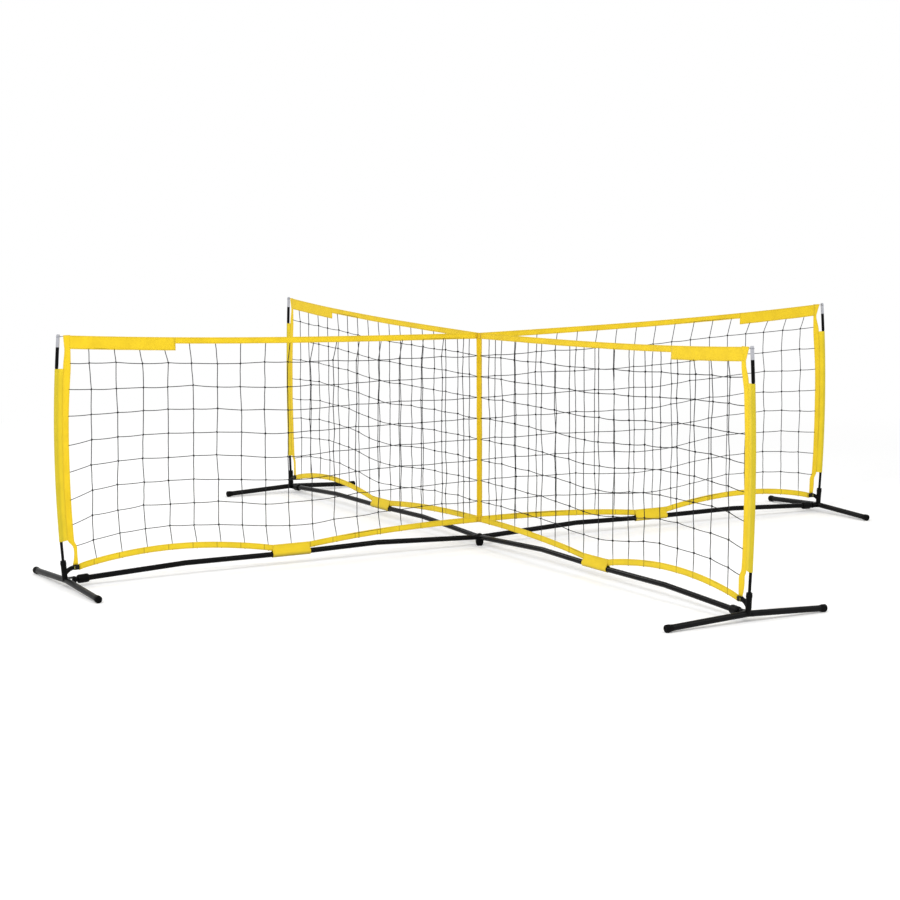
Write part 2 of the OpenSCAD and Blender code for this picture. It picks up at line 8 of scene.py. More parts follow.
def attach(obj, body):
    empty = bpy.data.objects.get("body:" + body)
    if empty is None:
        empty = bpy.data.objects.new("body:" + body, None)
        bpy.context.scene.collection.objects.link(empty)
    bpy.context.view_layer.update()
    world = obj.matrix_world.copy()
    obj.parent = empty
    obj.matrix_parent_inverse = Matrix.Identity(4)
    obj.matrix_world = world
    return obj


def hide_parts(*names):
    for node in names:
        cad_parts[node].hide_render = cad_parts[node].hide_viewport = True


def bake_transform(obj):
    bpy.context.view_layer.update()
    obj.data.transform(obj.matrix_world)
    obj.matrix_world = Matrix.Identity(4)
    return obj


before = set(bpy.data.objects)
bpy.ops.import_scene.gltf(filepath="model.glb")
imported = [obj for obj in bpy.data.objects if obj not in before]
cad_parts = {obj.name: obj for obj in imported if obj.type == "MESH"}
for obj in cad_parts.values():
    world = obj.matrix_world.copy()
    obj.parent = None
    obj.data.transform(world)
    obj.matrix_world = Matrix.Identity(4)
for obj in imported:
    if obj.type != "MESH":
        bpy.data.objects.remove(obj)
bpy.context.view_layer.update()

arms = {"west": 180, "south": 270, "north": 90, "east": 0}  # where each arm points, in degrees from +X

# Sizes the soft parts share with the frame, in millimetres. s runs outward along an arm and z up.
size = {
    "bowRadius": 5072.5, "bowMidS": -3257.5, "bowMidZ": 495,
    "pinS": 1759, "turnEndS": 1780, "turnStartS": 1690, "tubeRadius": 10.45, "tubeZ": 48.75,
    "topMidZ": 881, "topSag": 60, "cornerS": 1774.7, "headerS": 1334.7, "headerH": 50,
    "tapeW": 24, "tapeStart": 8, "tabStart": 781.5, "tabEnd": 944.5, "tabTapeZ": 73.95,
    "innerRise": 36, "innerPower": 2.4, "outerRise": 43, "outerPower": 0.8, "outerSkew": 1.07,
    "strapS": 1738.8, "strapEndS": 1761.3, "cornerZ": 74, "rowBelowTop": 8, "rowBelowTape": 10,
    "sleeveLowZ": 178, "sleeveHighZ": 818, "seamOffset": 25.3, "sideTapeW": 25,
    "neckZ": 148, "neckInS": 1742.8, "footInS": 1740.8, "neckW": 22, "sideLowZ": 83.5,
    "netStart": 13.3, "firstColumn": 78.9, "cell": 100, "columns": 17, "rows": 8,
}
# How far each arm's side tape is pulled in (-) or out (+) at its neck: inner edge, then outer edge.
neckPull = {"west": (1, -8), "south": (-2, 8), "north": (0, -3), "east": (0, 3)}
# How far the outer edge is cut in below the header's pointed top corner.
headerCut = {"west": 2, "south": 13, "north": 9, "east": 11}
# How much further out that pointed corner reaches.
cornerReach = {"west": 2, "south": 6, "north": 4, "east": 7}
# How far the inner edge of the side tape is drawn toward the hub up at the header, and from what height.
headerPull = {"west": (5, 600), "south": (15, 780), "north": (7, 600), "east": (7, 600)}
# How far the net's cords lean: outward along the top edge, toward the hub along the bottom edge, and toward
# the hub in every row below the top edge.
netLean = {"west": (0, 9, 9), "south": (-14, 0, 2), "north": (5, 0, 4), "east": (18, 0, 8)}
# How far the upper ends of the upright cords are drawn toward the hub in the inner part of an arm.
topPull = {"west": 28, "south": 0, "north": 0, "east": 0}
# How much higher the lower rows sit in the outer half of an arm.
rowLift = {"west": 0, "south": 0, "north": 7, "east": 8}
# How far each row, from the top one down, hangs lower where it reaches the side tape.
rowDrop = {
    "west": (0, 0, 2, 15, 19, 26, 23, 6), "south": (0, 0, 0, 3, 5, 9, 9, 5),
    "north": (0, 0, 0, 0, 0, 0, 0, 0), "east": (0, 0, 0, 0, 0, 0, 0, 0),
}


def mix(a, b, t):
    return a + (b - a) * t


def easeBetween(a, b, t):
    t = min(1, max(0, t))
    return mix(a, b, 0.5 - 0.5 * math.cos(math.pi * t))


def bowS(z):  # outward place of the pole's middle at a height
    return size["bowMidS"] + math.sqrt(size["bowRadius"] ** 2 - (z - size["bowMidZ"]) ** 2)


def topZ(s):  # top edge of the net
    t = max(0, s) / size["cornerS"]
    return size["topMidZ"] + size["topSag"] * (t + t ** 3) / 2


def tapeZ(s):  # middle of the bottom tape
    if s < size["tabStart"]:
        fall = (max(0, s) / size["tabStart"]) ** size["innerPower"]
        return size["tabTapeZ"] + size["innerRise"] * (1 - fall)
    if s < size["tabEnd"]:
        return size["tabTapeZ"]
    t = min(1, (s - size["tabEnd"]) / (size["strapS"] - size["tabEnd"]))
    lift = max(0, math.sin(math.pi * t ** size["outerSkew"])) ** size["outerPower"]
    return mix(size["tabTapeZ"], size["cornerZ"], t) + size["outerRise"] * lift


def seamS(z):  # where the pole sleeve meets the side tape
    return bowS(min(max(z, size["sleeveLowZ"]), size["sleeveHighZ"])) - size["seamOffset"]


def bandS(z):  # inner edge of the side tape beside the sleeve
    return seamS(z) - size["sideTapeW"]


def neckShare(z):  # 1 in the middle of the neck below the sleeve, 0 at both ends of it
    t = (z - size["sideLowZ"]) / (size["sleeveLowZ"] - size["sideLowZ"])
    return math.sin(math.pi * t) if 0 < t < 1 else 0.0


def sideEdgeS(arm, z):  # inner edge of the side tape all the way down to the strap
    low, neck = size["sleeveLowZ"], size["neckZ"]
    pull = neckPull[arm][0] * neckShare(z)
    if z > low:
        amount, start = headerPull[arm]
        return bandS(z) - amount * easeBetween(0, 1, (z - start) / (size["topMidZ"] - start))
    if z > neck:
        return easeBetween(size["neckInS"], bandS(low), (z - neck) / (low - neck)) + pull
    t = (z - size["cornerZ"]) / (neck - size["cornerZ"])
    return easeBetween(size["footInS"], size["neckInS"], t) + pull


def outerEdgeS(arm, z):  # outer edge of the side tape, out to the header's pointed top corner
    low, high, neck = size["sleeveLowZ"], size["sleeveHighZ"], size["neckZ"]
    headerLow = topZ(size["cornerS"]) - size["headerH"]
    shoulder = size["cornerS"] - headerCut[arm]
    if z < low:
        neckOut = size["neckInS"] + size["neckW"]
        footOut = size["footInS"] + size["neckW"] - 1
        if z < neck:
            edge = mix(footOut, neckOut, (z - size["sideLowZ"]) / (neck - size["sideLowZ"]))
        else:
            edge = easeBetween(neckOut, seamS(low), (z - neck) / (low - neck))
        return edge + neckPull[arm][1] * neckShare(z)
    if z < high:
        return seamS(z)
    if z < headerLow:
        return easeBetween(seamS(high), shoulder, (z - high) / (headerLow - high))
    return mix(shoulder, size["cornerS"] + cornerReach[arm], (z - headerLow) / size["headerH"])


def place(arm, s, z, y=0.0):  # arm coordinates in millimetres to metres in the frame
    turn = math.radians(arms[arm])
    c, k = math.cos(turn), math.sin(turn)
    return Vector((c * s - k * y, k * s + c * y, z)) * 0.001


def drift(seed, a, b, scale):  # smooth repeatable waviness, about -1 to 1
    return noise.noise(Vector((a / scale, b / scale, seed * 7.31)))


def newDraft():  # a piece's points, faces and two flat patterns, before it becomes one object
    return {"points": [], "faces": [], "weave": [], "hem": []}


def addFace(draft, corners, weave, hem=None):
    draft["faces"].append(corners)
    draft["weave"].append(weave)
    draft["hem"].append(hem or weave)


def addShell(draft, rows, closed=False):
    # A sheet with thickness. Each row lists middle points, each with half its thickness and its places in the
    # two flat patterns. In a closed sheet each row ends with its first point again.
    count, cols = len(rows), len(rows[0]) - (1 if closed else 0)
    base = len(draft["points"])

    def middle(i, j):
        return rows[min(max(i, 0), count - 1)][j % cols if closed else min(max(j, 0), cols - 1)][0]

    for side in (1, -1):
        for i in range(count):
            for j in range(cols):
                along = middle(i + 1, j) - middle(i - 1, j)
                across = middle(i, j + 1) - middle(i, j - 1)
                normal = along.cross(across).normalized()
                draft["points"].append(middle(i, j) + normal * rows[i][j][1] * side * 0.001)

    def patch(corners):  # each corner is its side, row and column
        numbers = [base + (side * count + i) * cols + j % cols for side, i, j in corners]
        weave, hem = [[rows[i][j][layer] for side, i, j in corners] for layer in (2, 3)]
        addFace(draft, numbers, weave, hem)

    spans = cols if closed else cols - 1
    for side in (0, 1):
        for i in range(count - 1):
            for j in range(spans):
                ring = [(side, i, j), (side, i + 1, j), (side, i + 1, j + 1), (side, i, j + 1)]
                patch(ring[::-1] if side else ring)
    for i in (0, count - 1):
        for j in range(spans):
            a, b = (j, j + 1) if i == 0 else (j + 1, j)
            patch([(0, i, a), (0, i, b), (1, i, b), (1, i, a)])
    if not closed:
        for j in (0, cols - 1):
            for i in range(count - 1):
                a, b = (i + 1, i) if j == 0 else (i, i + 1)
                patch([(0, a, j), (0, b, j), (1, b, j), (1, a, j)])


def addTube(draft, line, radius, sides=6, ends=True):
    # A round cord along a line of points, in metres, with its length and girth as the flat pattern.
    base, travelled = len(draft["points"]), 0.0
    lengths = [0.0]
    side = (line[1] - line[0]).orthogonal().normalized()
    for k, point in enumerate(line):
        ahead = line[min(k + 1, len(line) - 1)] - line[max(k - 1, 0)]
        ahead.normalize()
        side = (side - ahead * side.dot(ahead)).normalized()
        other = ahead.cross(side)
        if k:
            travelled += (point - line[k - 1]).length
            lengths.append(travelled)
        r = radius(k / (len(line) - 1)) if callable(radius) else radius
        for n in range(sides):
            turn = 2 * math.pi * n / sides
            draft["points"].append(point + (side * math.cos(turn) + other * math.sin(turn)) * r)
    for k in range(len(line) - 1):
        for n in range(sides):
            a, b = base + k * sides + n, base + k * sides + (n + 1) % sides
            flat = [(lengths[k], n / sides), (lengths[k], (n + 1) / sides),
                    (lengths[k + 1], (n + 1) / sides), (lengths[k + 1], n / sides)]
            addFace(draft, [a, b, b + sides, a + sides], flat)
    if ends:
        for k, order in ((0, -1), (len(line) - 1, 1)):
            ring = [base + k * sides + n for n in range(sides)][::order]
            addFace(draft, ring, [(lengths[k], 0.0)] * sides)


def addKnot(draft, centre, axis, big, thick, turns=9, sides=5):
    # One turn of cord wrapped about a crossing.
    base = len(draft["points"])
    axis = axis.normalized()
    side = axis.orthogonal().normalized()
    other = axis.cross(side)
    for k in range(turns):
        a = 2 * math.pi * k / turns
        out = side * math.cos(a) + other * math.sin(a)
        for n in range(sides):
            b = 2 * math.pi * n / sides
            draft["points"].append(centre + out * (big + thick * math.cos(b)) + axis * thick * math.sin(b))
    for k in range(turns):
        for n in range(sides):
            a, b = base + k * sides + n, base + k * sides + (n + 1) % sides
            c, d = base + (k + 1) % turns * sides + (n + 1) % sides, base + (k + 1) % turns * sides + n
            u0, u1 = 2 * math.pi * big * k / turns, 2 * math.pi * big * (k + 1) / turns
            v0, v1 = n / sides, (n + 1) / sides
            addFace(draft, [a, d, c, b], [(u0, v0), (u1, v0), (u1, v1), (u0, v1)])


def makePiece(name, draft, material):
    mesh = bpy.data.meshes.new(name)
    mesh.from_pydata([tuple(p) for p in draft["points"]], [], draft["faces"])
    for layer in ("weave", "hem"):
        flat = mesh.uv_layers.new(name=layer)
        flat.data.foreach_set("uv", [x for face in draft[layer] for corner in face for x in corner])
    mesh.polygons.foreach_set("use_smooth", [True] * len(mesh.polygons))
    mesh.materials.append(material)
    mesh.validate()
    piece = bpy.data.objects.new(name, mesh)
    bpy.context.scene.collection.objects.link(piece)
    return piece


def bendAtFoot(piece):  # bakes the piece's place into its points; the piece is not attached to the foot
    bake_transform(piece)


def colour(code):  # sRGB hex to linear
    parts = [int(code[i:i + 2], 16) / 255 for i in (1, 3, 5)]
    return tuple(c / 12.92 if c <= 0.04045 else ((c + 0.055) / 1.055) ** 2.4 for c in parts) + (1.0,)


def connect(tree, node, inputs):  # sets or links inputs, by name or, in a list, in their order
    for key, value in inputs.items() if isinstance(inputs, dict) else enumerate(inputs):
        if isinstance(value, bpy.types.NodeSocket):
            tree.links.new(value, node.inputs[key])
        else:
            node.inputs[key].default_value = value


def add(tree, kind, inputs=(), output=0, **settings):  # one node with its settings and links
    made = tree.nodes.new("ShaderNode" + kind)
    for key, value in settings.items():
        setattr(made, key, value)
    connect(tree, made, inputs)
    return made.outputs[output]


def newMaterial(name):
    material = bpy.data.materials.new(name)
    material.use_nodes = True
    tree = material.node_tree
    return material, tree, tree.nodes["Principled BSDF"]


def flatPattern(tree, layer):  # a piece's own flat pattern, in metres: the vector and its two parts
    whole = add(tree, "UVMap", uv_map=layer)
    split = add(tree, "SeparateXYZ", [whole]).node.outputs
    return whole, split[0], split[1]


def waves(tree, along, everyMm):  # -1 to 1 over threads or ribs that are this far apart
    turn = add(tree, "Math", [along, 2 * math.pi * 1000 / everyMm], operation="MULTIPLY")
    return add(tree, "Math", [turn], operation="SINE")


def awayFrom(tree, along, middle):  # distance to a line across the pattern
    offset = add(tree, "Math", [along, middle], operation="SUBTRACT")
    return add(tree, "Math", [offset], operation="ABSOLUTE")


def layered(tree, under, layers):  # lays each colour over those below it, by its share
    tone = colour(under)
    for share, over in layers:
        tone = add(tree, "Mix", {0: share, 6: tone, 7: colour(over)}, 2, data_type="RGBA")
    return tone


# Threads are about 0.5 mm apart and are drawn at 2 mm or more so that they show. Slubs are about 4 mm long
# and the sun has faded patches of about 70 mm.
# The crease colour is painted shade, laid in the grooves beside the stitch rows.
cloth = {
    "yellow": "#ECCB25", "shade": "#D2B21F", "thread": "#DFC236", "crease": "#A88F1C", "gapShade": "#C79A12",
    "warpMm": 2.6, "weftMm": 2.0, "ribbed": True, "roughness": 0.72, "bump": 0.7, "bumpMm": 0.4,
    "slubsPerMetre": 260, "fadesPerMetre": 14, "specular": 0.14, "sheen": 0.05,
    "stitchMm": 7.0, "stitchW": 1.1, "stitchIn": 3.2, "stitchShare": 0.72, "grooveMm": 2.2, "grooveShadeShare": 0.45,
    "overCords": False, "cordShadow": "#8A7420", "cordHalfMm": 0.8, "cordFadeMm": 2.2, "belt": None,
}


def wovenYellow(name, look):
    # Polyester, woven and dyed: dull, with a faint lustre where the threads turn.
    material, tree, shader = newMaterial(name)
    whole, u, v = flatPattern(tree, "weave")
    hemU, hemV = flatPattern(tree, "hem")[1:]
    warp, weft = waves(tree, u, look["warpMm"]), waves(tree, v, look["weftMm"])
    weave = add(tree, "Math", [warp, weft], operation="MULTIPLY")
    weave = add(tree, "Math", [weave, 0.5, 0.5], operation="MULTIPLY_ADD")
    if look["ribbed"]:  # webbing shows its lengthwise ribs more than its cross threads
        ribs = add(tree, "Math", [weft, 0.5, 0.5], operation="MULTIPLY_ADD")
        weave = add(tree, "Math", [weave, 0.4], operation="MULTIPLY")
        weave = add(tree, "Math", [ribs, 0.6, weave], operation="MULTIPLY_ADD")
    slub = {"Vector": whole, "Scale": look["slubsPerMetre"], "Detail": 3.0}
    slub = add(tree, "TexNoise", slub, noise_dimensions="2D")
    sun = {"Vector": whole, "Scale": look["fadesPerMetre"], "Detail": 2.0}
    sun = add(tree, "TexNoise", sun, noise_dimensions="2D")
    # two rows of lock stitch run along the hems, in a shallow groove that is painted darker with the crease
    # colour as painted shade
    fromRow = awayFrom(tree, hemV, look["stitchIn"] / 1000)
    onRow = add(tree, "Math", [fromRow, look["stitchW"] / 2000], operation="LESS_THAN")
    dash = add(tree, "Math", [hemU, 1000 / look["stitchMm"]], operation="MULTIPLY")
    dash = add(tree, "Math", [dash], operation="FRACT")
    dash = add(tree, "Math", [dash, look["stitchShare"]], operation="LESS_THAN")
    stitch = add(tree, "Math", [onRow, dash], operation="MULTIPLY")
    groove = add(tree, "MapRange", [fromRow, 0.0, look["grooveMm"] / 1000, 1.0, 0.0],
                 interpolation_type="SMOOTHSTEP")
    faded = add(tree, "Math", [sun, 0.9, -0.12], operation="MULTIPLY_ADD")
    # painted shade: the crease colour darkens the groove along each stitch row
    grooveShade = add(tree, "Math", [groove, look["grooveShadeShare"]], operation="MULTIPLY")
    # painted shade: the gaps between threads are coloured darker where the weave dips
    between = add(tree, "Math", [1.0, weave], operation="SUBTRACT")
    between = add(tree, "Math", [between, 0.16], operation="MULTIPLY")
    layers = [(faded, look["shade"]), (grooveShade, look["crease"]), (between, look["gapShade"])]
    if look["overCords"]:  # the net's upright cords lie in the fold; each is drawn as a brownish line, partly the cord showing through the cloth and partly painted shade along the ridge it raises
        cells = add(tree, "Math", [u, size["firstColumn"] / 1000], operation="SUBTRACT")
        cells = add(tree, "Math", [cells, size["cell"] / 1000], operation="DIVIDE")
        cells = add(tree, "Math", [cells, 0.5], operation="ADD")
        offCord = awayFrom(tree, add(tree, "Math", [cells], operation="FRACT"), 0.5)
        near, far = look["cordHalfMm"] / size["cell"], look["cordFadeMm"] / size["cell"]
        shadow = add(tree, "MapRange", [offCord, near, far, 0.75, 0.0], interpolation_type="SMOOTHSTEP")
        layers.append((shadow, look["cordShadow"]))
    if look["belt"]:  # a darker belt along the cloth
        belt = look["belt"]
        near, far = belt["half"] / 1000, (belt["half"] + belt["fade"]) / 1000
        away = awayFrom(tree, v, belt["middle"] / 1000)
        within = add(tree, "MapRange", [away, near, far, belt["strength"], 0.0],
                     interpolation_type="SMOOTHSTEP")
        layers.append((within, belt["colour"]))
    layers.append((stitch, look["thread"]))
    height = add(tree, "Math", [slub, 0.5], operation="MULTIPLY")
    for part, share in ((weave, 0.5), (groove, -1.1), (stitch, 1.4)):
        height = add(tree, "Math", [part, share, height], operation="MULTIPLY_ADD")
    connect(tree, shader, {
        "Base Color": layered(tree, look["yellow"], layers),
        "Roughness": add(tree, "Math", [slub, 0.16, look["roughness"] - 0.08], operation="MULTIPLY_ADD"),
        "Specular IOR Level": look["specular"], "Sheen Weight": look["sheen"], "Sheen Roughness": 0.5,
        "Normal": add(tree, "Bump", {
            "Strength": look["bump"], "Distance": look["bumpMm"] / 1000, "Height": height,
        }),
    })
    return material


lowerCloth = dict(cloth, yellow="#EBCD2A", shade="#CFB324")
wovenTape = wovenYellow("woven polyester tape", cloth)
sideTape = wovenYellow("woven polyester side tape", dict(cloth, bump=0.6, grooveShadeShare=0.12))
lowerTape = wovenYellow("woven polyester tape over cords", dict(lowerCloth, overCords=True))
# Oxford cloth is thinner, with a plain weave and no ribs.
oxford = {"warpMm": 1.8, "weftMm": 1.8, "ribbed": False, "roughness": 0.66, "bump": 0.5}
# The black pole darkens the sleeve that lies over it.
poleBelt = {"middle": 35, "half": 12, "fade": 12, "strength": 0.5, "colour": "#A89E2C"}
sleeveCloth = dict(cloth, **oxford, yellow="#E9CD28", shade="#CEB523", grooveShadeShare=0.15, belt=poleBelt)
oxfordCloth = wovenYellow("oxford sleeve cloth", sleeveCloth)
# Painted shade on the tabs where they wrap under the tube, darkest right under it.
underTubeShade = {"middle": 56, "half": 4, "fade": 20, "strength": 0.85, "colour": "#7E7432"}
tabCloth = wovenYellow("oxford tab cloth", dict(lowerCloth, **oxford, belt=underTubeShade))

cordLook = {
    "strands": 3.0, "fuzzPerMetre": 60, "roughness": 0.55, "specular": 0.14, "bump": 0.8, "bumpMm": 0.4,
}


def twistedTwine(name, dark, light, twistMm):
    # Polyethylene twine, twisted from strands: a dull cord with slanting lays and a few bright fibres; the
    # crown of each strand is painted lighter and the grooves between strands darker, as painted light and
    # shade.
    material, tree, shader = newMaterial(name)
    whole, u, v = flatPattern(tree, "weave")
    lay = add(tree, "Math", [v, cordLook["strands"]], operation="MULTIPLY")
    lay = add(tree, "Math", [u, 1000 / twistMm, lay], operation="MULTIPLY_ADD")
    turn = add(tree, "Math", [lay, math.pi], operation="MULTIPLY")
    strand = add(tree, "Math", [add(tree, "Math", [turn], operation="SINE")], operation="ABSOLUTE")
    fuzz = add(tree, "TexNoise", {"Vector": whole, "Scale": cordLook["fuzzPerMetre"], "Detail": 2.0},
               noise_dimensions="2D")
    share = add(tree, "Math", [fuzz, 0.5, -0.2], operation="MULTIPLY_ADD")
    share = add(tree, "Math", [strand, 0.6, share], operation="MULTIPLY_ADD")
    connect(tree, shader, {
        "Base Color": layered(tree, dark, [(share, light)]),
        "Roughness": cordLook["roughness"], "Specular IOR Level": cordLook["specular"],
        "Normal": add(tree, "Bump", {
            "Strength": cordLook["bump"], "Distance": cordLook["bumpMm"] / 1000, "Height": strand,
        }),
    })
    return material


netTwine = twistedTwine("twisted net twine", "#0B0C0D", "#242629", twistMm=6.0)
loopCord = twistedTwine("braided loop cord", "#5E6066", "#94979D", twistMm=3.0)

webbing = {
    "dark": "#050505", "light": "#101112", "ribMm": 2.2, "crossMm": 1.6, "roughness": 0.58, "specular": 0.14,
    "sheen": 0.05, "bump": 0.7, "bumpMm": 0.5, "tack": "#B7B455", "tackS": 1757.5, "tackHalfW": 1.6,
    "tackHalfL": 4.5, "tackMiddles": (20.1, 45.0), "tackThreadMm": 1.2,
}


def blackWebbing(name):
    # Polypropylene strap, woven in ribs: black with a soft sheen on each rib.
    material, tree, shader = newMaterial(name)
    u, v = flatPattern(tree, "weave")[1:]
    rib, cross = [
        add(tree, "Math", [waves(tree, way, webbing[every]), 0.5, 0.5], operation="MULTIPLY_ADD")
        for way, every in ((v, "ribMm"), (u, "crossMm"))
    ]
    weave = add(tree, "Math", [rib, cross], operation="MULTIPLY")
    # a bar tack of pale thread crosses each side near the outer end
    tackEnd = awayFrom(tree, u, webbing["tackS"] / 1000)
    tackEnd = add(tree, "Math", [tackEnd, webbing["tackHalfW"] / 1000], operation="LESS_THAN")
    aways = [awayFrom(tree, v, middle / 1000) for middle in webbing["tackMiddles"]]
    sides = [add(tree, "Math", [away, webbing["tackHalfL"] / 1000], operation="LESS_THAN") for away in aways]
    rows = add(tree, "Math", [waves(tree, v, webbing["tackThreadMm"]), -0.3], operation="GREATER_THAN")
    tack = add(tree, "Math", [add(tree, "Math", sides, operation="ADD"), rows], operation="MULTIPLY")
    tack = add(tree, "Math", [tackEnd, tack], operation="MULTIPLY")
    connect(tree, shader, {
        "Base Color": layered(tree, webbing["dark"], [(weave, webbing["light"]), (tack, webbing["tack"])]),
        "Roughness": webbing["roughness"], "Specular IOR Level": webbing["specular"],
        "Sheen Weight": webbing["sheen"],
        "Normal": add(tree, "Bump", {
            "Strength": webbing["bump"], "Distance": webbing["bumpMm"] / 1000, "Height": weave,
        }),
    })
    return material


strapWebbing = blackWebbing("black strap webbing")


def hardFinish(name, dark, light, roughness, grainMm, bump, bumpMm=0.2, metallic=0.0, specular=0.07,
               worn=None):
    # Shared body of the hard finishes: a fine grain, broad tone changes and rubbed high spots.
    material, tree, shader = newMaterial(name)
    where = add(tree, "TexCoord", output="Object")
    grain = add(tree, "TexNoise", {"Vector": where, "Scale": 1000 / grainMm, "Detail": 4.0, "Roughness": 0.6})
    broad = add(tree, "TexNoise", {"Vector": where, "Scale": 9.0, "Detail": 3.0})
    layers = [(add(tree, "Math", [broad, 1.4, -0.35], operation="MULTIPLY_ADD"), light)]
    if worn:  # scuffs from handling, in short streaks
        stretched = add(tree, "Mapping", {"Vector": where, "Scale": (40.0, 40.0, 260.0)})
        scuff = add(tree, "TexNoise", {"Vector": stretched, "Scale": 3.0, "Detail": 6.0, "Roughness": 0.7})
        layers.append((add(tree, "MapRange", [scuff, 0.66, 0.74, 0.0, 0.5]), worn))
    rough = add(tree, "Math", [grain, 0.1, roughness - 0.13], operation="MULTIPLY_ADD")
    rough = add(tree, "Math", [broad, 0.16, rough], operation="MULTIPLY_ADD")
    connect(tree, shader, {
        "Base Color": layered(tree, dark, layers), "Roughness": rough, "Metallic": metallic,
        "Specular IOR Level": specular,
        "Normal": add(tree, "Bump", {"Strength": bump, "Distance": bumpMm / 1000, "Height": grain}),
    })
    return material


# Steel tube under black powder coat: a satin skin with a faint orange peel of about 1.5 mm.
powderCoatTube = hardFinish("black powder-coated tube", "#050505", "#0B0B0C",
                            roughness=0.24, grainMm=1.5, bump=0.2, worn="#131315")
# The same coat in dark grey on the foot bars.
greyBarCoat = hardFinish("grey powder-coated bar", "#0D0D0D", "#161617",
                         roughness=0.36, grainMm=1.5, bump=0.25, worn="#242526")
# Glass-filled nylon, injection moulded with a spark-eroded grain of about 0.8 mm.
mouldedNylon = hardFinish("moulded black nylon", "#040404", "#0A0A0B",
                          roughness=0.4, grainMm=0.8, bump=0.45, worn="#141416")
# Rubber, compression moulded: matt, dusty where it touches the ground.
mouldedRubber = hardFinish("moulded black rubber", "#040404", "#0B0B0C",
                           roughness=0.6, grainMm=1.0, bump=0.4, specular=0.06)
# Pultruded fibreglass rod, black gel coat: smooth with a soft gloss.
fibreglassRod = hardFinish("black fibreglass rod", "#050505", "#0B0B0C",
                           roughness=0.25, grainMm=2.0, bump=0.12, bumpMm=0.1)
# Aluminium tube, turned and anodised grey, with rings left by the tool.
turnedAluminium = hardFinish("turned grey aluminium", "#A9AAB1", "#CDCED3",
                             roughness=0.28, grainMm=0.6, bump=0.2, bumpMm=0.1, metallic=1.0)
# Steel pin, blackened: nearly black with a dull shine.
blackenedSteel = hardFinish("blackened steel", "#0B0B0C", "#18191A",
                            roughness=0.45, grainMm=1.0, bump=0.3, bumpMm=0.1, metallic=0.6)

finishes = {
    "hub": mouldedNylon, "end_fitting": mouldedNylon, "foot_tee": mouldedNylon, "hub_foot": mouldedRubber,
    "foot_caps": mouldedRubber, "foot_bar": greyBarCoat, "fold_pin": blackenedSteel, "pole": fibreglassRod,
    "pole_tip": turnedAluminium, "base_tubes_inner": powderCoatTube, "base_tubes_middle": powderCoatTube,
    "base_tubes_outer": powderCoatTube,
}
for node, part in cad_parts.items():
    kind = node if node in finishes else node.rsplit("_", 1)[0]
    if kind in finishes:
        part.data.materials.clear()
        part.data.materials.append(finishes[kind])
print("finishes made and the hard parts dressed")

# Tapes, in millimetres: half thickness, thinner hems, the gap to the next tape, and ridges over the cords
# in the fold. "across" places the points between the two edges, closer together at the hems.
band = {
    "half": 1.15, "hemThin": 0.55, "hemW": 0.4, "gap": 0.3, "across": (0, 0.06, 0.2, 0.5, 0.8, 0.94, 1),
    "ridge": 0.35, "ridgeW": 1.8, "ridgeSteps": (-4.5, -2, 0, 2, 4.5), "ridgeClear": 6,
}


def stations(start, end, step, ridges=()):
    # Even steps, with close steps wherever a cord lies inside the fold.
    count = max(2, round((end - start) / step))
    found = {round(mix(start, end, k / count), 3) for k in range(count + 1)}
    for middle in ridges:
        if start < middle - band["ridgeClear"] and middle + band["ridgeClear"] < end:
            found = {x for x in found if abs(x - middle) > band["ridgeClear"] - 1}
            found |= {middle + offset for offset in band["ridgeSteps"]}
    return sorted(found)


columnPlaces = [size["firstColumn"] + size["cell"] * k for k in range(size["columns"])]


def ridgeAt(s):  # how much a cord inside the fold lifts the cloth
    nearest = min(abs(s - c) for c in columnPlaces)
    return math.exp(-(nearest / band["ridgeW"]) ** 2)


def strip(draft, arm, alongs, low, high, swayOf, lift, upright=False):
    # A tape between two edges, lying or upright. swayOf gives its sideways wander; its area is returned.
    rows = []
    for a in alongs:
        row, lowEdge, highEdge = [], low(a), high(a)
        for t in band["across"]:
            b = mix(lowEdge, highEdge, t)
            s, z = (b, a) if upright else (a, b)
            body = band["half"] + lift
            if not upright:
                body += band["ridge"] * ridgeAt(s)
            near = min(b - lowEdge, highEdge - b)
            if near < band["hemW"]:
                body *= band["hemThin"]
            row.append((place(arm, s, z, swayOf(s, z)), body, (a / 1000, b / 1000), (a / 1000, near / 1000)))
        rows.append(row)
    addShell(draft, rows)
    area = 0.0
    for first, last in zip(alongs, alongs[1:]):
        area += (last - first) * (high(first) - low(first) + high(last) - low(last)) / 2
    return area / 1e6


# The top tape and its wide header: steps, waviness of the lower edge, extra half thickness.
topTape = {"width": size["tapeW"], "step": 16, "wave": 0.5, "waveEvery": 90, "waveSeed": 3, "lift": 0.15}
header = {"width": size["headerH"], "step": 14, "wave": 0.7, "waveEvery": 70, "waveSeed": 5, "lift": 0.35}
topSway = {"amount": 2.4, "every": 330, "calmHub": 120, "calmCorner": 150, "atCorner": 0.25, "overlap": 6}


def makeTopBand(arm, seed):
    draft = newDraft()
    end = bandS(size["sleeveHighZ"]) - band["gap"]

    def sway(s, z):
        corner = min(1, (end - s) / topSway["calmCorner"] + topSway["atCorner"])
        fade = min(1, s / topSway["calmHub"]) * corner
        return topSway["amount"] * fade * drift(seed, s, z * 0.4, topSway["every"])

    area = 0.0
    start, turn = size["tapeStart"], size["headerS"]
    for look, first, last in ((topTape, start, turn + topSway["overlap"]), (header, turn, end)):
        def lowEdge(s, look=look):
            wave = look["wave"] * drift(seed + look["waveSeed"], s, 0, look["waveEvery"])
            return topZ(s) - look["width"] + wave

        steps = stations(first, last, look["step"], columnPlaces)
        area += strip(draft, arm, steps, lowEdge, topZ, sway, look["lift"])
    piece = makePiece("topBand" + arm.title(), draft, wovenTape)
    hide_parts("top_band_" + arm)
    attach(piece, "base")


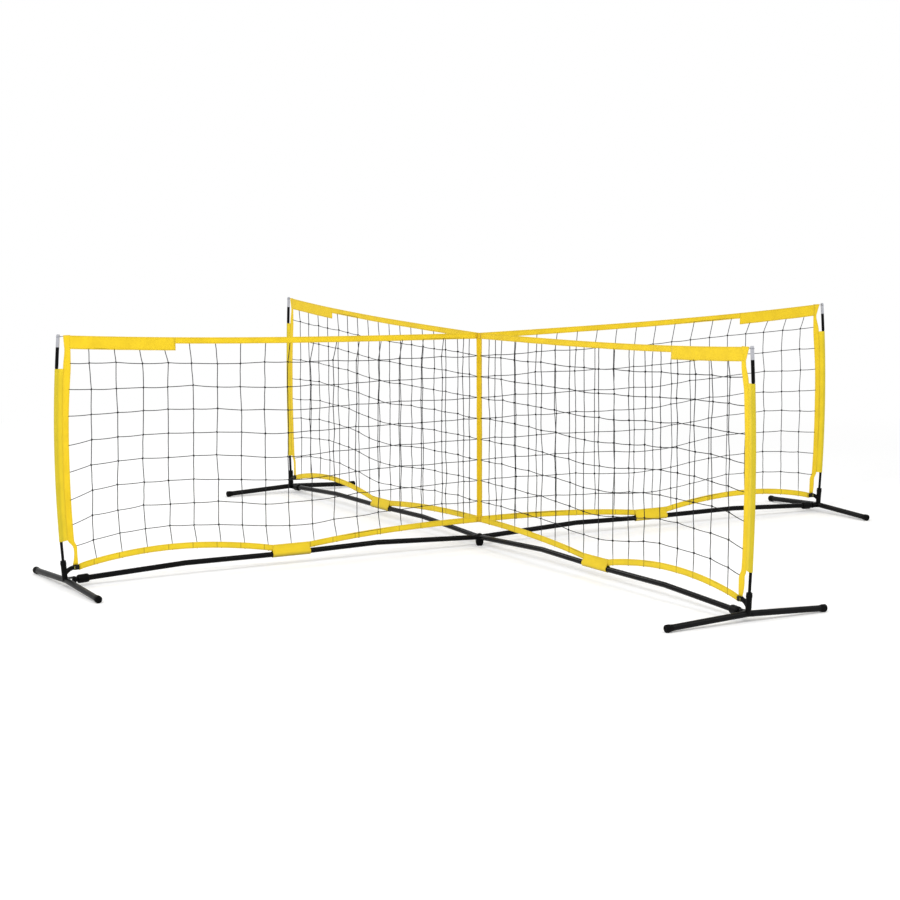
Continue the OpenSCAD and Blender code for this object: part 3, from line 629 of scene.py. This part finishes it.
bottomTape = {
    "step": 16, "wave": 0.4, "waveEvery": 60, "lift": 0.15, "sway": 2.2, "swayEvery": 300, "calmHub": 120,
    "calmTab": 200, "calmCorner": 150,
}


def makeBottomTape(arm, seed):
    draft = newDraft()
    end = size["strapS"] - band["gap"]
    half = size["tapeW"] / 2
    tabMiddle = (size["tabStart"] + size["tabEnd"]) / 2

    def sway(s, z):
        calm = min(1, s / bottomTape["calmHub"]) * min(1, abs(s - tabMiddle) / bottomTape["calmTab"])
        calm *= min(1, (end - s) / bottomTape["calmCorner"])
        return bottomTape["sway"] * calm * drift(seed, s, 0, bottomTape["swayEvery"])

    def lowEdge(s):
        return tapeZ(s) - half + bottomTape["wave"] * drift(seed + 2, s, 0, bottomTape["waveEvery"])

    steps = stations(size["tapeStart"], end, bottomTape["step"], columnPlaces)
    area = strip(draft, arm, steps, lowEdge, lambda s: tapeZ(s) + half, sway, bottomTape["lift"])
    piece = makePiece("bottomTape" + arm.title(), draft, lowerTape)
    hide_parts("bottom_tape_" + arm)
    # its end stays in the corner strap, which turns with the foot
    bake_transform(piece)


sideBand = {"step": 8, "lift": 0.1, "sway": 0.9, "swayEvery": 120, "swayFromZ": 83, "flatW": 47, "flatL": 858}


def makeSideTape(arm, seed):
    draft = newDraft()
    heights = stations(size["sideLowZ"], topZ(size["cornerS"]), sideBand["step"])

    def sway(s, z):
        rise = min(1, (z - sideBand["swayFromZ"]) / sideBand["swayEvery"])
        return sideBand["sway"] * drift(seed, s, z, sideBand["swayEvery"]) * rise

    area = strip(draft, arm, heights, lambda z: sideEdgeS(arm, z), lambda z: outerEdgeS(arm, z),
                 sway, sideBand["lift"], upright=True)
    piece = makePiece("sideTape" + arm.title(), draft, sideTape)
    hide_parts("side_band_" + arm)
    bendAtFoot(piece)


# Pole sleeve, in millimetres: two flat flanges that meet at the seam and an arc about the pole.
sleeve = {
    "wall": 1.2, "inner": 5.8, "seamHalf": 0.9, "seamGap": 0.3, "flange": (1.0, 0.94, 0.8, 0.6, 0.4, 0.2),
    "arcStep": 20, "hem": 12, "hemExtra": 0.22, "hemSteps": (0, 1, 3, 6, 10, 12, 13, 15), "bodyFrom": 22,
    "bodySteps": 75, "slant": 3.5, "slantH": 50, "slantW": 32,
    "wrinkle": 0.7, "wrinkleEvery": 26, "looseMiddle": 12, "looseHalf": 14,
}


def girths(outline):  # length of the way along an outline up to each of its points
    found = [0.0]
    for first, last in zip(outline, outline[1:]):
        found.append(found[-1] + math.dist(last, first))
    return found


def makeSleeve(arm, seed):
    draft = newDraft()
    low, high, count = size["sleeveLowZ"], size["sleeveHighZ"], sleeve["bodySteps"]
    bodyLow, bodyHigh = low + sleeve["bodyFrom"], high - sleeve["bodyFrom"]
    heights = [low + h for h in sleeve["hemSteps"]]
    heights += [mix(bodyLow, bodyHigh, k / count) for k in range(count + 1)]
    heights += [high - h for h in sleeve["hemSteps"][::-1]]
    middle = sleeve["inner"] + sleeve["wall"] / 2
    flange = [((sleeve["seamGap"] - size["seamOffset"]) * t, mix(middle, sleeve["seamHalf"], t))
              for t in sleeve["flange"]]
    arc = [math.radians(90 - sleeve["arcStep"] * k) for k in range(180 // sleeve["arcStep"] + 1)]
    profile = flange + [(middle * math.cos(a), middle * math.sin(a)) for a in arc]
    profile += [(x, -y) for x, y in reversed(flange)]
    girth = girths(profile)

    def hemPattern(z, k):  # one row of stitches 3 mm inside each hem, and one along each seam flange
        near = min(z - low, high - z)
        if near < 1.5 * sleeve["hem"]:
            return girth[k] / 1000, (abs(near - sleeve["hem"] + 3) + cloth["stitchIn"]) / 1000
        return z / 1000, min(girth[k], girth[-1] - girth[k]) / 1000

    rows = []
    for z in heights:
        row = []
        dip = sleeve["slant"] * max(0, 1 - (z - low) / sleeve["slantH"])  # the low hem slants down outward
        half = sleeve["wall"] / 2 + (sleeve["hemExtra"] if min(z - low, high - z) < sleeve["hem"] else 0.0)
        for k, (x, y) in enumerate(profile):
            loose = 1 - abs(x + sleeve["looseMiddle"]) / sleeve["looseHalf"] if x < 0 else 0
            wander = drift(seed, z, x * 3 + (40 if y < 0 else 0), sleeve["wrinkleEvery"])  # the faces differ
            ripple = sleeve["wrinkle"] * max(0, loose) * (wander + 0.5)
            side = 1 if y > 0 else -1
            lower = dip * (x + size["seamOffset"]) / sleeve["slantW"]
            point = place(arm, bowS(z) + x, z - lower, y + side * ripple)
            row.append((point, half, (z / 1000, girth[k] / 1000), hemPattern(z, k)))
        rows.append(row)
    addShell(draft, rows)
    piece = makePiece("sleeve" + arm.title(), draft, oxfordCloth)
    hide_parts("pole_sleeve_" + arm)
    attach(piece, "foot_" + arm)


# Tabs that hold the bottom tape to the tubes, in millimetres: two flat flaps above an arc round the tube.
tab = {
    "top": 85.95, "flapSteps": (0, 4, 10), "flapHalf": 2.1, "flare": 0.3, "flareUp": 4.5, "throat": 66,
    "throatHalf": 4.4, "wall": 1.2, "gap": 1.1, "hem": 9,
    "endSteps": (0, 0.4, 2, 5, 9), "bodySteps": 14, "arcFrom": 52, "arcStep": 18.93, "arcCount": 16,
    "crease": 0.5, "creaseEvery": 22, "roundness": 0.35, "roundL": 5, "foldW": 6, "foldExtra": 0.15,
}


def makeTubeTabs():
    draft = newDraft()
    r = size["tubeRadius"] + tab["gap"] + tab["wall"] / 2
    length, hemW, top = size["tabEnd"] - size["tabStart"], tab["hem"], tab["top"]
    rise = [(tab["flapHalf"], top - step) for step in tab["flapSteps"]]
    rise.append((tab["flapHalf"] + tab["flare"], tab["throat"] + tab["flareUp"]))
    rise.append((tab["throatHalf"], tab["throat"]))
    arc = [math.radians(tab["arcFrom"] - tab["arcStep"] * k) for k in range(tab["arcCount"])]
    outline = rise + [(r * math.cos(a), size["tubeZ"] + r * math.sin(a)) for a in arc]
    outline += [(-y, z) for y, z in rise[::-1]]
    girth, count = girths(outline), tab["bodySteps"]
    steps = list(tab["endSteps"]) + [hemW + (length - 2 * hemW) * k / count for k in range(1, count)]
    steps += [length - step for step in tab["endSteps"][::-1]]
    for seed, arm in enumerate(arms):
        rows = []
        for s in steps:
            row = []
            nearEnd = min(s, length - s)
            half = tab["wall"] / 2 + (tab["foldExtra"] if nearEnd < tab["foldW"] else 0)
            for k, (y, z) in enumerate(outline):
                onFlap = z > tab["throat"] - 2
                pull = abs(tab["crease"] * drift(seed + 40, s, girth[k] * 0.6, tab["creaseEvery"]))
                y += (1 if y > 0 else -1) * pull * (1 if onFlap else 0.3)
                rounded = max(0, tab["roundL"] - nearEnd) * tab["roundness"] if z > top - 1 else 0
                near = min(nearEnd, girth[k], girth[-1] - girth[k])
                hem = (s if nearEnd > hemW else girth[k]) / 1000, near / 1000
                point = place(arm, size["tabStart"] + s, z - rounded, y)
                row.append((point, half, (s / 1000, girth[k] / 1000), hem))
            rows.append(row)
        addShell(draft, rows)
    piece = makePiece("tubeTabs", draft, tabCloth)
    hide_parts("tube_tabs")
    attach(piece, "base")


# Two tapes crossed and sewn at the centre, pinched where the net's rows pass.
centre = {
    "half": 13, "clear": 0.3, "pinch": 1.1, "pinchH": 7, "step": 9, "wave": 0.5, "waveEvery": 40,
    "sway": 0.9, "swayEvery": 60, "across": (-1, -0.9, -0.6, -0.25, 0, 0.25, 0.6, 0.9, 1),
    "halfThick": 1.15, "seamThick": 1.6, "hemThin": 0.6,
}


def makeCentreTape():
    draft = newDraft()
    low, high = tapeZ(0) - size["tapeW"] / 2, topZ(0)
    rowHeights = [rowZ(j, 30) for j in range(1, size["rows"] + 1)]
    heights = stations(low, high, centre["step"])
    for arm, seed in (("east", 71), ("north", 72)):
        rows = []
        for z in heights:
            pinch = centre["pinch"] * sum(math.exp(-((z - r) / centre["pinchH"]) ** 2) for r in rowHeights)
            row = []
            for t in centre["across"]:
                wave = centre["wave"] * drift(seed + t, z, 0, centre["waveEvery"])
                reach = centre["half"] - pinch + wave - centre["clear"]
                wander = centre["sway"] * t * drift(seed + 9, z, t * 30, centre["swayEvery"])
                body = centre["halfThick"] if abs(t) > 0.1 else centre["seamThick"]
                body *= centre["hemThin"] if abs(t) > 0.95 else 1
                pattern = z / 1000, t * centre["half"] / 1000
                hem = z / 1000, (1 - abs(t)) * centre["half"] / 1000
                row.append((place(arm, reach * t, z, wander), body, pattern, hem))
            rows.append(row)
        addShell(draft, rows)
    piece = makePiece("centreTape", draft, wovenTape)
    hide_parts("centre_tape")
    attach(piece, "base")


# The net, in millimetres: cords and knots, how far a knot wanders, how deep the cords reach into the tapes,
# and over what stretch each lean grows.
twine = {
    "radius": 1.6, "edgeRadius": 0.9, "knotBig": 2.7, "knotThick": 2.1, "hemKnot": 1.1, "kink": 0.8,
    "slack": 2.2, "wanderS": 3.2, "wanderZ": 3.5, "wanderY": 3.0, "driftY": 3.0, "driftEvery": 400, "tuck": 4,
    "inTop": 5, "inLow": 8, "hemShare": 0.93, "hemThin": 0.7, "highRow": 2, "lowRow": 5, "highLean": 1.4,
    "highFade": 250, "lowFade": 480, "topPullL": 1300, "leanL": 600, "liftFrom": 700, "stepIn": 3,
}


def rowZ(j, s):  # the rows share the height between the net's two edges
    high, low = topZ(s) - size["rowBelowTop"], tapeZ(s) - size["rowBelowTape"]
    return high - (high - low) * j / (size["rows"] + 1)


def knotPlace(arm, i, j):
    # Crossing of column i and row j; the first and last of each lie in the tapes.
    rows, columns, tuck = size["rows"], size["columns"], twine["tuck"]
    leanTop, leanLow, leanMid = netLean[arm]
    s = size["firstColumn"] + size["cell"] * (i - 1)
    if i == 0:
        s = size["netStart"] - tuck
    elif j == 0:
        s += leanTop * (s / size["cornerS"]) ** 2
        s -= topPull[arm] * math.sin(math.pi * min(1, s / twine["topPullL"]))
    elif j == rows + 1:
        s -= leanLow * min(1, s / twine["leanL"])
    if 0 < i <= columns and j:
        low = (j - twine["highRow"]) / (twine["lowRow"] - twine["highRow"])
        low = min(1, max(0, low))  # 0 in the upper rows and 1 in the lower ones
        fade = (size["cornerS"] - s) / mix(twine["highFade"], twine["lowFade"], low)
        s -= leanMid * min(mix(twine["highLean"], 1, low), fade) * min(1, s / twine["leanL"])
    lift = rowLift[arm] * easeBetween(0, 1, (s - twine["liftFrom"]) / twine["leanL"])
    z = rowZ(j, s) + lift * min(1, j / twine["lowRow"])
    if j == 0:
        z = topZ(s) - (size["headerH"] if s > size["headerS"] else size["tapeW"]) + twine["inTop"]
    if j == rows + 1:
        z = tapeZ(s) + twine["inLow"]
    if i == columns + 1:
        if 0 < j <= rows:
            z -= rowDrop[arm][j - 1]
        s = sideEdgeS(arm, z) + tuck
    return s, z


def makeNet(arm, seed):
    draft = newDraft()
    pick = random.Random(seed)
    rows, columns = size["rows"], size["columns"]
    knots = {}
    for i in range(columns + 2):
        for j in range(rows + 2):
            s, z = knotPlace(arm, i, j)
            amount = 1.0 if 0 < i <= columns and 0 < j <= rows else 0.0
            knots[i, j] = (
                s + amount * pick.uniform(-1, 1) * twine["wanderS"],
                z + amount * pick.uniform(-1, 1) * twine["wanderZ"],
                amount * (pick.uniform(-1, 1) * twine["wanderY"]
                          + twine["driftY"] * drift(seed, i * 100, j * 100, twine["driftEvery"])),
            )

    def run(a, b, droop, steps=4):
        points = []
        for k in range(steps):
            t = k / steps
            hang = droop * 4 * t * (1 - t)
            points.append(place(arm, mix(a[0], b[0], t), mix(a[1], b[1], t) - hang, mix(a[2], b[2], t)))
        return points

    def radiusAt(t):  # an upright cord is pressed thinner inside the bottom tape
        return twine["radius"] / 1000 * (1 if t < twine["hemShare"] else twine["hemThin"])

    for j in range(1, rows + 1):
        line = []
        for i in range(columns + 1):
            line += run(knots[i, j], knots[i + 1, j], twine["slack"] * pick.uniform(0.1, 1.0))
        line.append(place(arm, *knots[columns + 1, j]))
        addTube(draft, line, twine["radius"] / 1000)
    for i in range(1, columns + 1):
        line = []
        for j in range(rows + 1):
            line += run(knots[i, j], knots[i, j + 1], 0.0, 3)
        last = knots[i, rows + 1]
        hem = place(arm, last[0] + pick.uniform(-1, 1), tapeZ(last[0]) - size["tapeW"] / 2, 0)
        line.append(place(arm, last[0], last[1], 0))
        line.append(hem)
        bent = [line[0]]
        for k in range(1, len(line) - 3):  # the cord kinks a little beside each knot
            kink = twine["kink"] / 1000 if k % 3 else 0.0
            bent.append(line[k] + Vector((pick.uniform(-1, 1), pick.uniform(-1, 1), 0)) * kink)
        bent += line[-3:]
        addTube(draft, bent, radiusAt)
        addKnot(draft, hem, place(arm, 0, 1), twine["hemKnot"] / 1000, twine["hemKnot"] / 1000)
    # thin cords edge the net inside the top tape, the bottom tape and the centre tape
    step = size["headerS"] + twine["stepIn"]
    edges = ((0, 0, 1, 0, columns + 1), (0, rows + 1, 1, 0, columns + 1), (0, 0, 0, 1, rows + 1))
    for i0, j0, di, dj, count in edges:
        line = []
        for k in range(count):
            a, b = knots[i0 + di * k, j0 + dj * k], knots[i0 + di * (k + 1), j0 + dj * (k + 1)]
            if j0 == 0 and di and a[0] < step < b[0]:  # the top cord steps down inside the header's inner end
                line += [place(arm, *a), place(arm, step, a[1], 0), place(arm, step + 0.5, b[1], 0)]
            else:
                line += run(a, b, 0.0, 2)
        line.append(place(arm, b[0], b[1], b[2]))
        addTube(draft, line, twine["edgeRadius"] / 1000)
    for i in range(1, columns + 1):
        for j in range(1, rows + 1):
            s, z, y = knots[i, j]
            axis = place(arm, pick.choice((-1, 1)), pick.uniform(0.5, 1.1), pick.uniform(-0.5, 0.5))
            addKnot(draft, place(arm, s, z, y), axis, twine["knotBig"] / 1000, twine["knotThick"] / 1000)
    piece = makePiece("net" + arm.title(), draft, netTwine)
    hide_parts("net_" + arm)
    bendAtFoot(piece)


strap = {
    "wall": 2.2, "halfH": 9.0, "halfW": 7.0, "corner": 3.0, "bulge": 0.05, "inset": 0.1, "endThin": 0.8,
    "steps": (0, 0.7, 2.1, 6, 11, 16, 20, 21.7, 22.3),
}


def makeCornerStrap(arm):
    draft = newDraft()
    wall, r = strap["wall"], strap["corner"]
    cornerY, cornerUp = strap["halfW"] - wall / 2 - r, strap["halfH"] - wall / 2 - r
    outline = []
    for signY, signUp, start in ((1, 1, 0), (-1, 1, 90), (-1, -1, 180), (1, -1, 270)):
        for turn in (math.radians(start + a) for a in (0, 30, 60, 90)):
            outline.append((signY * cornerY + r * math.cos(turn), signUp * cornerUp + r * math.sin(turn)))
    outline.append(outline[0])
    girth, rows = girths(outline), []
    steps = [size["strapS"] + strap["inset"] + offset for offset in strap["steps"]]
    for k, s in enumerate(steps):
        bulge = 1 + strap["bulge"] * math.sin(math.pi * k / (len(steps) - 1))
        half = wall / 2 * (strap["endThin"] if s in (steps[0], steps[-1]) else 1)
        row = []
        for (y, z), along in zip(outline, girth):
            point = place(arm, s, size["cornerZ"] + z * bulge, y * bulge)
            row.append((point, half, (s / 1000, along / 1000), (0.0, 0.0)))
        rows.append(row)
    addShell(draft, rows, closed=True)
    piece = makePiece("cornerStrap" + arm.title(), draft, strapWebbing)
    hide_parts("corner_strap_" + arm)
    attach(piece, "foot_" + arm)


loop = {
    "radius": 0.9, "aroundTip": 7.3, "tipZ": 936, "belowTop": 4, "fromEdge": 0.3, "apart": 1.5, "spread": 1.5,
    "spreadAt": 0.3, "turns": 16, "openAt": 118,
}


def makeCornerLoop(arm):
    # One cord leaves the header's pointed corner, passes round the waist of the tip and comes back.
    cornerZ = topZ(size["cornerS"]) - loop["belowTop"]
    edge = outerEdgeS(arm, cornerZ) + loop["fromEdge"]
    middle, tipZ, around, t = bowS(loop["tipZ"]), loop["tipZ"], loop["aroundTip"], loop["spreadAt"]
    line = [(edge, cornerZ, loop["apart"]),
            (mix(edge, middle, t), mix(cornerZ, tipZ, t), loop["apart"] + loop["spread"])]
    for k in range(loop["turns"] + 1):
        turn = math.radians(mix(loop["openAt"], -loop["openAt"], k / loop["turns"]))
        line.append((middle + around * math.cos(turn), tipZ, around * math.sin(turn)))
    line += [(s, z, -y) for s, z, y in line[1::-1]]
    points = [place(arm, *point) for point in line]
    draft = newDraft()
    addTube(draft, points, loop["radius"] / 1000, sides=8)
    piece = makePiece("cornerLoop" + arm.title(), draft, loopCord)
    bendAtFoot(piece)


for seed, arm in enumerate(arms):
    makeTopBand(arm, 11 + seed)
    makeBottomTape(arm, 21 + seed)
    makeSideTape(arm, 31 + seed)
    makeSleeve(arm, 51 + seed)
    makeNet(arm, 61 + seed)
    makeCornerStrap(arm)
    makeCornerLoop(arm)
makeTubeTabs()
makeCentreTape()
print("tapes, sleeves, net and straps made")

# Camera angles are in degrees, and places and fades in metres.
studio = {
    "cameraAt": (-4.423, -7.453, 1.502), "yaw": 29.887, "pitch": 7.258, "roll": -0.214, "lens": 84.866,
    "floorHalf": 30, "floorDrop": 0.0005, "floorColour": "#FFFFFF", "floorGlow": 0.07, "fadeFrom": 2.4,
    "fadeTo": 5.5, "worldLight": 0.72,
}
softboxes = {  # place, what it looks at, power and width
    "key": ((-5.5, -4.5, 5.5), (0, 0, 0.4), 260, 2.4),
    "fill": ((3.4, -5.6, 5.2), (0, 0, 0.4), 95, 1.5),
    "rim": ((-2.6, 6.4, 4.8), (0, 0, 0.2), 80, 1.6),
}


def seenShare(tree):  # 1 for rays seen straight, mirrored or through glass, and 0 for those that only light
    path = add(tree, "LightPath").node.outputs
    mirrored = [path["Is Glossy Ray"], path["Is Transmission Ray"]]
    seen = add(tree, "Math", mirrored, operation="ADD")
    seen = add(tree, "Math", [path["Is Camera Ray"], seen], operation="ADD")
    return add(tree, "Math", [1.0, seen], operation="MINIMUM")


reach = studio["floorHalf"]
floorMesh = bpy.data.meshes.new("studio floor")
floorMesh.from_pydata([(-reach, -reach, 0), (reach, -reach, 0), (reach, reach, 0), (-reach, reach, 0)], [],
                      [(0, 1, 2, 3)])
floor = bpy.data.objects.new("studioFloor", floorMesh)
floor.location.z = -studio["floorDrop"]
bpy.context.scene.collection.objects.link(floor)

# Painted board, matt and white: it fades into the white world behind it.
floorMaterial, tree, shader = newMaterial("pale painted floor")
connect(tree, shader, {
    "Base Color": colour(studio["floorColour"]), "Roughness": 0.9, "Specular IOR Level": 0.05,
    "Emission Color": colour(studio["floorColour"]), "Emission Strength": studio["floorGlow"],
})
where = add(tree, "TexCoord", output="Object")
away = add(tree, "VectorMath", [where], "Value", operation="LENGTH")
fade = add(tree, "MapRange", [away, studio["fadeFrom"], studio["fadeTo"], 0.0, 1.0],
           interpolation_type="SMOOTHSTEP")
share = add(tree, "Math", [fade, seenShare(tree)], operation="MULTIPLY")
white = add(tree, "Emission", {"Color": (1, 1, 1, 1), "Strength": 1.0})
both = add(tree, "MixShader", [share, shader.outputs[0], white])
connect(tree, tree.nodes["Material Output"], {"Surface": both})
floorMesh.materials.append(floorMaterial)

world = bpy.data.worlds.new("studio")
bpy.context.scene.world = world
world.use_nodes = True
tree, plain = world.node_tree, studio["worldLight"]
level = add(tree, "Math", [seenShare(tree), 1.0 - plain, plain], operation="MULTIPLY_ADD")
connect(tree, tree.nodes["Background"], {"Color": (1, 1, 1, 1), "Strength": level})

for name, (at, toward, power, width) in softboxes.items():
    lamp = bpy.data.lights.new(name + " softbox", "AREA")
    lamp.shape = "DISK"
    lamp.size = width
    lamp.energy = power
    holder = bpy.data.objects.new(name + " softbox", lamp)
    bpy.context.scene.collection.objects.link(holder)
    holder.location = at
    holder.rotation_euler = (Vector(toward) - Vector(at)).to_track_quat("-Z", "Y").to_euler()

camera = bpy.data.objects.new("camera", bpy.data.cameras.new("camera"))
bpy.context.scene.collection.objects.link(camera)
camera.data.lens = studio["lens"]
camera.data.sensor_width = 36
camera.data.clip_start, camera.data.clip_end = 0.05, 200
camera.location = studio["cameraAt"]
yaw, pitch, roll = [math.radians(studio[name]) for name in ("yaw", "pitch", "roll")]
ahead = Vector((math.sin(yaw) * math.cos(pitch), math.cos(yaw) * math.cos(pitch), -math.sin(pitch)))
camera.rotation_mode = "QUATERNION"
camera.rotation_quaternion = ahead.to_track_quat("-Z", "Y") @ Matrix.Rotation(roll, 3, "Z").to_quaternion()
bpy.context.scene.camera = camera
bpy.context.scene.view_settings.view_transform = "Standard"
print("studio ready")
